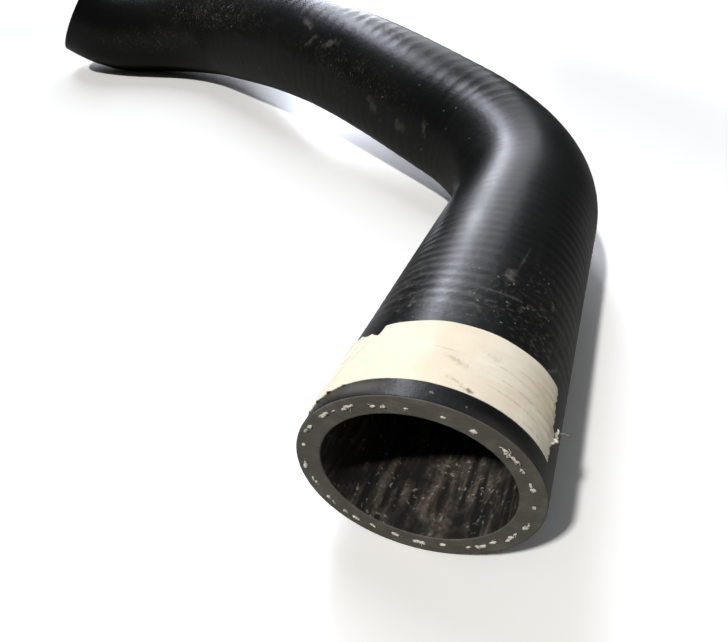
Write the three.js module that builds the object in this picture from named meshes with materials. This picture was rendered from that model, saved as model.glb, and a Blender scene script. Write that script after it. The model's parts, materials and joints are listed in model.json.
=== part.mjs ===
// Moulded coolant hose, lying as it rests on a bench, with a strip of paper tape round its near end.
// Millimetres, +Z up. The near end's cut face looks along -Y, and the hose bends away to the left.
import * as THREE from 'three';
import { mergeVertices } from 'three/addons/utils/BufferGeometryUtils.js';

// Tube section
const outerDiameter = 42;
const boreDiameter = 33;
// The bore sits this much above the middle of the section, so the wall is thicker underneath
const boreLift = 0.6;
const sectionSides = 36;

// Route of the centre line, from the near end to the far end
const nearLeg = 94.5;
const nearBendRadius = 57;
const nearBendAngle = 67;
const middleLeg = 149;
const farBendRadius = 60;
const farBendAngle = 52;
const farLeg = 34;
// The arch between the legs stands this much off the bench at its highest
const archRise = 12;
// The hose touches the bench again this far from its far end, and its tip rises off the bench from there
const farTip = 22;
const farTipRise = 7;
// The near end is trimmed this far out of square with the tube
const trimSkew = 6.2;
// Length of tube between two stations of the sweep
const stationPitch = 7;

// Paper tape round the near end, laid parallel to the cut
const tapeSetback = 3.7;
const tapeWidth = 14.5;
const tapeThickness = 0.3;
const tapeGap = 0.3;
// Angles round the tube, from the top towards the right: the tucked end and the two corners of the torn end
const tapeTuckedAngle = -130;
const tapeTornNearAngle = 58;
const tapeTornFarAngle = 55;
const tapeColumns = 44;

const radians = THREE.MathUtils.degToRad;
const outerRadius = outerDiameter / 2;
const boreRadius = boreDiameter / 2;
const skew = radians(trimSkew);

const rubber = new THREE.MeshStandardMaterial({ color: 0x1a1b1f, roughness: 0.5, metalness: 0 });
const paper = new THREE.MeshStandardMaterial({ color: 0xf1e4c8, roughness: 0.85, metalness: 0 });

// Unit vector along a heading that is measured to the left of +Y
function along(heading) {
  return new THREE.Vector2(-Math.sin(heading), Math.cos(heading));
}

// The route seen from above: straight legs joined by two bends to the left
function planOfRoute() {
  const plan = new THREE.Path();
  const place = new THREE.Vector2(0, 0);
  let heading = -skew;

  function leg(length) {
    place.addScaledVector(along(heading), length);
    plan.lineTo(place.x, place.y);
  }

  function bend(radius, degrees) {
    const turn = radians(degrees);
    const centre = place.clone().addScaledVector(along(heading + Math.PI / 2), radius);
    plan.absarc(centre.x, centre.y, radius, heading, heading + turn, false);
    heading += turn;
    place.copy(centre).addScaledVector(along(heading - Math.PI / 2), radius);
  }

  plan.moveTo(place.x, place.y);
  leg(nearLeg);
  bend(nearBendRadius, nearBendAngle);
  leg(middleLeg);
  bend(farBendRadius, farBendAngle);
  leg(farLeg);
  return plan;
}

// The centre line in space: the plan, lifted in one smooth arch, with the far tip curving up behind it
class HoseRoute extends THREE.Curve {
  constructor(plan) {
    super();
    this.plan = plan;
    this.length = plan.getLength();
  }

  getPoint(t, target = new THREE.Vector3()) {
    const place = this.plan.getPoint(t);
    const touchDown = this.length - farTip;
    const archShare = THREE.MathUtils.clamp((t * this.length - nearLeg) / (touchDown - nearLeg), 0, 1);
    const tipShare = THREE.MathUtils.clamp((t * this.length - touchDown) / farTip, 0, 1);
    const lift = archRise * Math.sin(Math.PI * archShare) ** 2 + farTipRise * tipShare ** 2;
    return target.set(place.x, place.y, outerRadius + lift);
  }
}

// Ring with flats that touch the true circles, and one flat underneath for the hose to lie on.
// In the sweep, the section's X runs down and its Y runs across the tube.
function tubeSection() {
  const halfSide = Math.PI / sectionSides;
  const toCorner = 1 / Math.cos(halfSide);
  const section = new THREE.Shape();
  section.absarc(0, 0, outerRadius * toCorner, halfSide, halfSide + 2 * Math.PI, false);
  const bore = new THREE.Path();
  bore.absarc(-boreLift, 0, boreRadius * toCorner, halfSide, halfSide + 2 * Math.PI, false);
  section.holes.push(bore);
  return section;
}

// Slides the first station's points along the tube onto the plane Y = 0, which is the trimmed end
function trimNearEnd(geometry) {
  const forward = along(-skew);
  const position = geometry.attributes.position;
  for (let i = 0; i < position.count; i += 1) {
    const reach = position.getX(i) * forward.x + position.getY(i) * forward.y;
    if (Math.abs(reach) < 0.001) {
      position.setX(i, position.getX(i) - forward.x * position.getY(i) / forward.y);
      position.setY(i, 0);
    }
  }
}

function hoseBody() {
  const route = new HoseRoute(planOfRoute());
  const geometry = new THREE.ExtrudeGeometry(tubeSection(), {
    steps: Math.round(route.length / stationPitch),
    curveSegments: sectionSides / 2,
    bevelEnabled: false,
    extrudePath: route,
  });
  trimNearEnd(geometry);
  geometry.computeVertexNormals();
  const mesh = new THREE.Mesh(geometry, rubber);
  mesh.name = 'hose_body';
  return mesh;
}

// Point of the tape: an angle from the top towards the right, a radius, and a setback from the cut
function tapePoint(angle, radius, setback) {
  const forward = along(-skew);
  const across = radius * Math.sin(angle);
  const reach = setback + across * Math.tan(skew);
  return new THREE.Vector3(
    forward.y * across + forward.x * reach,
    -forward.x * across + forward.y * reach,
    outerRadius + radius * Math.cos(angle),
  );
}

// A strip four corners thick, swept round the tube in columns and closed at both ends
function tapeBand() {
  const innerRadius = outerRadius / Math.cos(Math.PI / sectionSides) + tapeGap;
  const bandRadius = innerRadius + tapeThickness;
  const farEdge = tapeSetback + tapeWidth;
  const points = [];
  for (let i = 0; i <= tapeColumns; i += 1) {
    const share = i / tapeColumns;
    const nearAngle = radians(THREE.MathUtils.lerp(tapeTuckedAngle, tapeTornNearAngle, share));
    const farAngle = radians(THREE.MathUtils.lerp(tapeTuckedAngle, tapeTornFarAngle, share));
    points.push(tapePoint(nearAngle, innerRadius, tapeSetback));
    points.push(tapePoint(nearAngle, bandRadius, tapeSetback));
    points.push(tapePoint(farAngle, bandRadius, farEdge));
    points.push(tapePoint(farAngle, innerRadius, farEdge));
  }

  const corners = 4;
  const faces = [0, 1, 2, 0, 2, 3];
  for (let i = 0; i < tapeColumns; i += 1) {
    for (let j = 0; j < corners; j += 1) {
      const here = i * corners + j;
      const next = i * corners + (j + 1) % corners;
      faces.push(here, here + corners, next + corners, here, next + corners, next);
    }
  }
  const last = tapeColumns * corners;
  faces.push(last, last + 2, last + 1, last, last + 3, last + 2);

  const geometry = new THREE.BufferGeometry().setFromPoints(points);
  geometry.setIndex(faces);
  geometry.computeVertexNormals();
  const mesh = new THREE.Mesh(mergeVertices(geometry), paper);
  mesh.name = 'tape_band';
  return mesh;
}

// The part's origin is on the bench, under the middle of the hose
function centreOnBench(group, body) {
  const box = new THREE.Box3().setFromObject(body);
  const middle = box.getCenter(new THREE.Vector3());
  group.position.set(-middle.x, -middle.y, -box.min.z);
}

const radiatorHose = new THREE.Group();
radiatorHose.name = 'radiator_hose';
const body = hoseBody();
radiatorHose.add(body, tapeBand());
centreOnBench(radiatorHose, body);

export default radiatorHose;
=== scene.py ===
"""Looks of the moulded coolant hose, with its wrap rings, cut wall, yarn ends, dusty bore and paper tape.

Every length is in metres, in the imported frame's own axes: +Z up, the near end's cut face towards -Y.
The hose is first modelled as a straight tube along +X, with +Y to its left, and then laid along its route.
"""

import json
import logging
import math
import random
from collections.abc import Callable, Iterator, Sequence
from contextlib import contextmanager
from dataclasses import dataclass, field
from enum import Enum

import bmesh
import bpy
import numpy as np
from mathutils import Matrix, Vector


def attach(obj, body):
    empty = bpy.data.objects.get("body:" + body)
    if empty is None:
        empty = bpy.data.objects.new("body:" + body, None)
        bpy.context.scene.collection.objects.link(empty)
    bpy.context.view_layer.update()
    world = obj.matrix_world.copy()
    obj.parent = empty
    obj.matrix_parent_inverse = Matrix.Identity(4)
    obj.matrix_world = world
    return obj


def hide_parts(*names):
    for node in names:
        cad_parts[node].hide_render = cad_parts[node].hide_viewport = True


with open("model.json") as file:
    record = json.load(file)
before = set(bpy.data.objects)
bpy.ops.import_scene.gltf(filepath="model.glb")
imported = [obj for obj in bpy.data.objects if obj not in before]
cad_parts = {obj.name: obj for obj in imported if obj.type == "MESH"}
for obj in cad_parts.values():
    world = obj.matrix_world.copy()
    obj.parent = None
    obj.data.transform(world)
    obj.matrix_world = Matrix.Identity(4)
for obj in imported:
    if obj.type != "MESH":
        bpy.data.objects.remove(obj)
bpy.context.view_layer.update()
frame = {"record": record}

LOG = logging.getLogger("radiator_hose")
MM = 0.001
PLACE_ATTRIBUTE = "straight_place"
PHOTO_WIDTH = 728
SMOOTH_ANGLE = math.radians(50)

Points = np.ndarray


class Slot(Enum):
    """The record's material slots."""

    RUBBER = "hose_rubber"
    TAPE = "paper_tape"


# Geometry helpers


def deselect_all() -> None:
    """Leaves every object unselected."""
    bpy.ops.object.select_all(action="DESELECT")


def make_active(piece: bpy.types.Object) -> None:
    """Selects one object alone and makes it the active one.

    Args:
        piece: The object.
    """
    deselect_all()
    piece.select_set(True)
    bpy.context.view_layer.objects.active = piece


@contextmanager
def editing(piece: bpy.types.Object, mode: str = "EDGE") -> Iterator[None]:
    """Opens a piece in edit mode with nothing selected, and closes it again.

    Args:
        piece: The mesh object to edit.
        mode: Select mode, VERT, EDGE or FACE.

    Yields:
        Nothing, while the piece is open.
    """
    make_active(piece)
    bpy.ops.object.mode_set(mode="EDIT")
    bpy.ops.mesh.select_mode(type=mode)
    bpy.ops.mesh.select_all(action="DESELECT")
    yield
    bpy.ops.object.mode_set(mode="OBJECT")


def select_edges(piece: bpy.types.Object, wanted: Callable[[Vector, Vector], bool]) -> None:
    """Selects the edges of the piece being edited whose two ends pass a test.

    Args:
        piece: The mesh object in edit mode.
        wanted: Test that takes the places of an edge's two ends.
    """
    mesh = bmesh.from_edit_mesh(piece.data)
    for edge in mesh.edges:
        edge.select_set(wanted(edge.verts[0].co, edge.verts[1].co))
    bmesh.update_edit_mesh(piece.data)


def apply_modifiers(piece: bpy.types.Object) -> None:
    """Applies all of a piece's modifiers in order.

    Args:
        piece: The mesh object.
    """
    make_active(piece)
    for modifier in list(piece.modifiers):
        bpy.ops.object.modifier_apply(modifier=modifier.name)


def vertex_places(piece: bpy.types.Object) -> Points:
    """Reads where a piece's vertices are.

    Args:
        piece: The mesh object.

    Returns:
        One row of x, y and z for each vertex.
    """
    flat = np.zeros(len(piece.data.vertices) * 3)
    piece.data.vertices.foreach_get("co", flat)
    return flat.reshape(-1, 3)


def move_vertices(piece: bpy.types.Object, places: Points) -> None:
    """Gives a piece's vertices new places, one row each."""
    piece.data.vertices.foreach_set("co", places.ravel())
    piece.data.update()


def note_straight_places(piece: bpy.types.Object) -> None:
    """Keeps each vertex's place on the straight tube, in millimetres, for the materials to read.

    Args:
        piece: The piece, before it is bent along the route.
    """
    straight = piece.data.attributes.new(PLACE_ATTRIBUTE, "FLOAT_VECTOR", "POINT")
    straight.data.foreach_set("vector", (vertex_places(piece) / MM).astype(np.float32).ravel())


def smooth_faces(piece: bpy.types.Object) -> None:
    """Shades a piece smooth, apart from its sharp edges."""
    make_active(piece)
    bpy.ops.object.shade_smooth_by_angle(angle=SMOOTH_ANGLE)


def smooth_between(value: Points, low: float, high: float) -> Points:
    """Rises smoothly from 0 at low to 1 at high."""
    share = np.clip((value - low) / (high - low), 0, 1)
    return share * share * (3 - 2 * share)


def ride_and_slot(piece: bpy.types.Object) -> None:
    """Puts a finished piece on the hose's one body."""
    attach(piece, "root")


# Sizes and route of the hose


@dataclass(frozen=True)
class TubeSection:
    """Cross-section of the hose.

    Attributes:
        outer_radius: Radius of the outside.
        bore_radius: Radius of the bore.
        bore_lift: How far the bore's middle stands above the outside's middle.
        sides: Faces round the tube.
    """

    outer_radius: float = 21 * MM
    bore_radius: float = 16.5 * MM
    bore_lift: float = 0.6 * MM
    sides: int = 96

    @property
    def wall(self) -> float:
        """Thickness of the wall at its sides."""
        return self.outer_radius - self.bore_radius


@dataclass(frozen=True)
class HoseRoute:
    """Centre line of the hose: straight legs joined by two bends to the left, with an arch between them.

    Attributes:
        start: The near end's centre, on the bench.
        height: Height of the centre line where the hose lies on the bench.
        trim_skew: How far the near end is trimmed out of square.
        near_leg: Straight length behind the near end.
        near_bend_radius: Radius of the bend after it.
        near_bend_angle: How far that bend turns to the left.
        middle_leg: Straight length between the bends.
        far_bend_radius: Radius of the second bend.
        far_bend_angle: How far that bend turns to the left.
        far_leg: Straight length up to the far end.
        arch_rise: Height of the arch off the bench.
        far_tip: Length behind the arch, where the far tip curves up off the bench.
        far_tip_rise: How far the tip rises.
    """

    start: tuple[float, float]
    height: float
    trim_skew: float = math.radians(6.2)
    near_leg: float = 94.5 * MM
    near_bend_radius: float = 57 * MM
    near_bend_angle: float = math.radians(67)
    middle_leg: float = 149 * MM
    far_bend_radius: float = 60 * MM
    far_bend_angle: float = math.radians(52)
    far_leg: float = 34 * MM
    arch_rise: float = 12 * MM
    far_tip: float = 22 * MM
    far_tip_rise: float = 7 * MM

    def stretches(self) -> list[tuple[float, float]]:
        """Divides the route into its straight legs and bends.

        Returns:
            Each stretch's length and how far it turns to the left, in order.
        """
        return [
            (self.near_leg, 0.0),
            (self.near_bend_radius * self.near_bend_angle, self.near_bend_angle),
            (self.middle_leg, 0.0),
            (self.far_bend_radius * self.far_bend_angle, self.far_bend_angle),
            (self.far_leg, 0.0),
        ]

    @property
    def length(self) -> float:
        """Length of the route as seen from above."""
        return sum(length for length, _ in self.stretches())

    def point(self, distance: float) -> Vector:
        """Finds a point of the centre line.

        Args:
            distance: Distance from the near end as seen from above, which may be below zero.

        Returns:
            The point, in the part's frame.
        """
        place = Vector(self.start)
        heading = -self.trim_skew
        left = distance
        for length, turn in self.stretches():
            here = min(left, length)
            if turn:
                radius = length / turn
                swept = here / radius
                place = place + radius * (along(heading + math.pi / 2) - along(heading + swept + math.pi / 2))
                heading += swept
            else:
                place = place + along(heading) * here
            left -= here
            if left <= 0:
                break
        else:
            place = place + along(heading) * left
        touch_down = self.length - self.far_tip
        share = min(max((distance - self.near_leg) / (touch_down - self.near_leg), 0.0), 1.0)
        tip = max((distance - touch_down) / self.far_tip, 0.0)
        lift = self.arch_rise * math.sin(math.pi * share) ** 2 + self.far_tip_rise * tip ** 2
        return Vector((place.x, place.y, self.height + lift))

    @property
    def walk(self) -> float:
        """Length of the centre line in space."""
        points = [self.point(self.length * step / 400) for step in range(401)]
        return sum((after - before).length for before, after in zip(points, points[1:]))


def along(heading: float) -> Vector:
    """Returns the unit vector along a heading measured to the left of +Y."""
    return Vector((-math.sin(heading), math.cos(heading)))


@dataclass(frozen=True)
class RouteCurve:
    """The route as a curve that straight pieces are bent along.

    Attributes:
        route: The centre line.
        lead: Extra straight length in front of the near end and behind the far end.
        pitch: Distance between the curve's points.
    """

    route: HoseRoute
    lead: float = 20 * MM
    pitch: float = 1 * MM

    def build(self) -> bpy.types.Object:
        """Makes the curve, which is removed once the pieces are bent.

        Returns:
            The curve object.
        """
        steps = round((self.route.length + 2 * self.lead) / self.pitch)
        data = bpy.data.curves.new("route", "CURVE")
        data.dimensions = "3D"
        data.twist_mode = "Z_UP"
        line = data.splines.new("POLY")
        line.points.add(steps)
        for index, point in enumerate(line.points):
            distance = index * (self.route.length + 2 * self.lead) / steps - self.lead
            point.co = (*self.route.point(distance), 1.0)
        curve = bpy.data.objects.new("route", data)
        bpy.context.scene.collection.objects.link(curve)
        return curve

    def bend(self, piece: bpy.types.Object, curve: bpy.types.Object) -> None:
        """Bends a straight piece along the curve.

        Args:
            piece: The straight piece, which runs along +X.
            curve: The route's curve object.
        """
        places = vertex_places(piece)
        places[:, 0] += self.lead
        move_vertices(piece, places)
        modifier = piece.modifiers.new("route", "CURVE")
        modifier.object = curve
        modifier.deform_axis = "POS_X"
        apply_modifiers(piece)


# Shader nodes


class Tree:
    """Short way to place and join shader nodes in one tree."""

    def __init__(self, tree: bpy.types.NodeTree) -> None:
        """Takes the node tree to fill."""
        self.tree = tree

    def add(self, kind: str, **values: object) -> bpy.types.Node:
        """Adds a node.

        Args:
            kind: The node's type name.
            **values: Properties of the node, or values of its inputs by name, with _ in place of each space.

        Returns:
            The new node.
        """
        node = self.tree.nodes.new(kind)
        for name, value in values.items():
            if hasattr(node, name):
                setattr(node, name, value)
            else:
                self.feed(node.inputs[name.replace("_", " ")], value)
        return node

    def feed(self, socket: bpy.types.NodeSocket, value: object) -> None:
        """Links an output to an input, or sets the input's value.

        Args:
            socket: The input.
            value: An output socket, or a value.
        """
        if isinstance(value, bpy.types.NodeSocket):
            self.tree.links.new(value, socket)
        else:
            socket.default_value = value

    def math(self, operation: str, *values: object) -> bpy.types.NodeSocket:
        """Adds a math node.

        Args:
            operation: The node's operation.
            *values: Sockets or numbers that it works on.

        Returns:
            The result.
        """
        node = self.tree.nodes.new("ShaderNodeMath")
        node.operation = operation
        for socket, value in zip(node.inputs, values):
            self.feed(socket, value)
        return node.outputs[0]

    def ramp(
        self, value: object, low: float, high: float, start: float = 0.0, end: float = 1.0
    ) -> bpy.types.NodeSocket:
        """Maps a value smoothly from one range to another.

        Args:
            value: The value.
            low: Value that gives the start.
            high: Value that gives the end.
            start: Result at low.
            end: Result at high.

        Returns:
            The result.
        """
        node = self.add("ShaderNodeMapRange", interpolation_type="SMOOTHSTEP")
        numbers = {"Value": value, "From Min": low, "From Max": high, "To Min": start, "To Max": end}
        for name, number in numbers.items():
            self.feed(node.inputs[name], number)
        return node.outputs["Result"]

    def noise(
        self, place: object, scale: float, detail: float = 3.0, stretch: Sequence[float] | None = None
    ) -> bpy.types.NodeSocket:
        """Returns noise at a place.

        Args:
            place: Vector socket, in millimetres.
            scale: Features per millimetre.
            detail: Levels of finer noise.
            stretch: Scale along each axis, or None for even noise.

        Returns:
            The noise value, about 0.5 on average.
        """
        if stretch is not None:
            mapping = self.add("ShaderNodeMapping", vector_type="POINT")
            self.feed(mapping.inputs["Vector"], place)
            mapping.inputs["Scale"].default_value = stretch
            place = mapping.outputs[0]
        node = self.add("ShaderNodeTexNoise")
        self.feed(node.inputs["Vector"], place)
        node.inputs["Scale"].default_value = scale
        node.inputs["Detail"].default_value = detail
        return node.outputs["Fac"]

    def mix(self, factor: object, first: object, second: object) -> bpy.types.NodeSocket:
        """Mixes two colours.

        Args:
            factor: Share of the second colour.
            first: The first colour.
            second: The second colour.

        Returns:
            The mixed colour.
        """
        node = self.add("ShaderNodeMix", data_type="RGBA")
        self.feed(node.inputs[0], factor)
        self.feed(node.inputs[6], first)
        self.feed(node.inputs[7], second)
        return node.outputs[2]

    def group(self, group: bpy.types.NodeTree, **values: object) -> bpy.types.Node:
        """Places a node group.

        Args:
            group: The group.
            **values: Values of its inputs by name, with _ in place of each space.

        Returns:
            The group's node.
        """
        node = self.tree.nodes.new("ShaderNodeGroup")
        node.node_tree = group
        for name, value in values.items():
            self.feed(node.inputs[name.replace("_", " ")], value)
        return node


def new_group(
    name: str, inputs: dict[str, tuple[str, object]], outputs: Sequence[str]
) -> tuple[bpy.types.NodeTree, Tree, bpy.types.Node, bpy.types.Node]:
    """Makes an empty shader node group.

    Args:
        name: The group's name.
        inputs: Each input's socket type and default value, by name.
        outputs: Names of the outputs, which are values.

    Returns:
        The group, its tree helper, its input node and its output node.
    """
    group = bpy.data.node_groups.new(name, "ShaderNodeTree")
    for label, (kind, default) in inputs.items():
        socket = group.interface.new_socket(name=label, in_out="INPUT", socket_type=kind)
        if default is not None:
            socket.default_value = default
    for label in outputs:
        group.interface.new_socket(name=label, in_out="OUTPUT", socket_type="NodeSocketFloat")
    tree = Tree(group)
    return group, tree, tree.add("NodeGroupInput"), tree.add("NodeGroupOutput")


def unroll_group() -> bpy.types.NodeTree:
    """Turns a place on the straight tube into a distance along it and an angle round it.

    Returns:
        The group. Along is in millimetres, and Angle in degrees from the top towards the right.
    """
    inputs = {"Place": ("NodeSocketVector", None)}
    group, tree, start, end = new_group("unroll_tube", inputs, ["Along", "Angle"])
    parts = tree.add("ShaderNodeSeparateXYZ", Vector=start.outputs["Place"])
    right = tree.math("MULTIPLY", parts.outputs["Y"], -1.0)
    angle = tree.math("ARCTAN2", right, parts.outputs["Z"])
    tree.feed(end.inputs["Along"], parts.outputs["X"])
    tree.feed(end.inputs["Angle"], tree.math("DEGREES", angle))
    return group


def mark_group(radius_mm: float) -> bpy.types.NodeTree:
    """Soft-edged oval mark at one place on the tube, such as a scuff or a stain.

    Args:
        radius_mm: Radius at which an angle is turned into millimetres.

    Returns:
        The group, whose Mask is 1 in the middle of the mark and 0 outside it.
    """
    names = ("Along", "Angle", "Mark Along", "Mark Angle", "Length", "Width", "Slant", "Breakup")
    inputs = {name: ("NodeSocketFloat", 0.0) for name in names}
    group, tree, start, end = new_group("soft_mark", inputs, ["Mask"])
    given = start.outputs
    to_mm = math.pi / 180 * radius_mm
    run = tree.math("SUBTRACT", given["Along"], given["Mark Along"])
    turn = tree.math("WRAP", tree.math("SUBTRACT", given["Angle"], given["Mark Angle"]), 180.0, -180.0)
    across = tree.math("MULTIPLY", turn, to_mm)
    slant = tree.math("RADIANS", given["Slant"])
    cosine = tree.math("COSINE", slant)
    sine = tree.math("SINE", slant)
    lengthwise = tree.math("ADD", tree.math("MULTIPLY", run, cosine), tree.math("MULTIPLY", across, sine))
    crosswise = tree.math("SUBTRACT", tree.math("MULTIPLY", across, cosine), tree.math("MULTIPLY", run, sine))
    far = tree.math("DIVIDE", lengthwise, given["Length"])
    wide = tree.math("DIVIDE", crosswise, given["Width"])
    squares = tree.math("ADD", tree.math("MULTIPLY", far, far), tree.math("MULTIPLY", wide, wide))
    rough = tree.math("ADD", tree.math("SQRT", squares), given["Breakup"])
    rim = 0.62
    tree.feed(end.inputs["Mask"], tree.ramp(rough, rim, 0.0))
    return group


def specks_group() -> bpy.types.NodeTree:
    """Small dust specks scattered over a surface.

    Returns:
        The group. Pitch is the cells per millimetre, Share the share of cells with a speck, Size its reach.
    """
    inputs = {
        "Place": ("NodeSocketVector", None),
        "Pitch": ("NodeSocketFloat", 0.5),
        "Share": ("NodeSocketFloat", 0.2),
        "Size": ("NodeSocketFloat", 0.2),
    }
    group, tree, start, end = new_group("dust_specks", inputs, ["Mask"])
    given = start.outputs
    wander = tree.add("ShaderNodeTexNoise", Vector=given["Place"], Scale=1.7, Detail=3.0)
    shift = tree.add("ShaderNodeVectorMath", operation="MULTIPLY")
    tree.feed(shift.inputs[0], wander.outputs["Color"])
    shift.inputs[1].default_value = (1.4, 1.4, 1.4)
    moved = tree.add("ShaderNodeVectorMath", operation="ADD")
    tree.feed(moved.inputs[0], given["Place"])
    tree.feed(moved.inputs[1], shift.outputs[0])
    cells = tree.add("ShaderNodeTexVoronoi", Vector=moved.outputs[0], Scale=given["Pitch"])
    shade = tree.add("ShaderNodeSeparateColor", Color=cells.outputs["Color"])
    kept = tree.math("LESS_THAN", shade.outputs["Red"], given["Share"])
    reach = tree.math("MULTIPLY", given["Size"], tree.math("ADD", shade.outputs["Green"], 0.35))
    near = tree.math("SUBTRACT", 1.0, tree.math("DIVIDE", cells.outputs["Distance"], reach))
    tree.feed(end.inputs["Mask"], tree.math("MULTIPLY", kept, tree.ramp(near, 0.0, 0.5)))
    return group


@dataclass(frozen=True)
class Mark:
    """A scuff or stain on the hose.

    Attributes:
        along: Distance from the near end, in millimetres.
        angle: Angle from the top towards the right, in degrees.
        length: Length along the slant, in millimetres.
        width: Width across the slant, in millimetres.
        slant: Turn away from the hose's own direction, in degrees.
        strength: How much of the mark's colour shows.
    """

    along: float
    angle: float
    length: float
    width: float
    slant: float
    strength: float


@dataclass
class Effects:
    """The shader node groups that the finishes share.

    Attributes:
        unroll: Distance along the tube and angle round it.
        mark: One soft-edged mark.
        specks: Scattered dust specks.
    """

    unroll: bpy.types.NodeTree = field(default_factory=unroll_group)
    mark: bpy.types.NodeTree = field(default_factory=lambda: mark_group(TubeSection.outer_radius / MM))
    specks: bpy.types.NodeTree = field(default_factory=specks_group)

    def spot(
        self, tree: Tree, unrolled: bpy.types.Node, mark: Mark, breakup: object = 0.0
    ) -> bpy.types.NodeSocket:
        """Places one mark in a material.

        Args:
            tree: The material's tree.
            unrolled: The unroll group, placed in that tree.
            mark: The mark.
            breakup: Added to the distance from its middle, to break up its edge.

        Returns:
            How much of the mark's colour shows.
        """
        placed = tree.group(
            self.mark, Along=unrolled.outputs["Along"], Angle=unrolled.outputs["Angle"],
            Mark_Along=float(mark.along), Mark_Angle=float(mark.angle), Length=float(mark.length),
            Width=float(mark.width), Slant=float(mark.slant), Breakup=breakup,
        )
        return tree.math("MULTIPLY", placed.outputs["Mask"], mark.strength)


def new_material(name: str, roughness: float) -> tuple[bpy.types.Material, Tree, bpy.types.Node]:
    """Makes a node material.

    Args:
        name: The material's name.
        roughness: Roughness to start with.

    Returns:
        The material, its tree helper and its Principled shader.
    """
    material = bpy.data.materials.new(name)
    material.use_nodes = True
    shader = material.node_tree.nodes["Principled BSDF"]
    shader.inputs["Roughness"].default_value = roughness
    return material, Tree(material.node_tree), shader


def colour(red: float, green: float, blue: float) -> tuple[float, float, float, float]:
    """Returns a linear colour with full alpha."""
    return (red, green, blue, 1.0)


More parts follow.
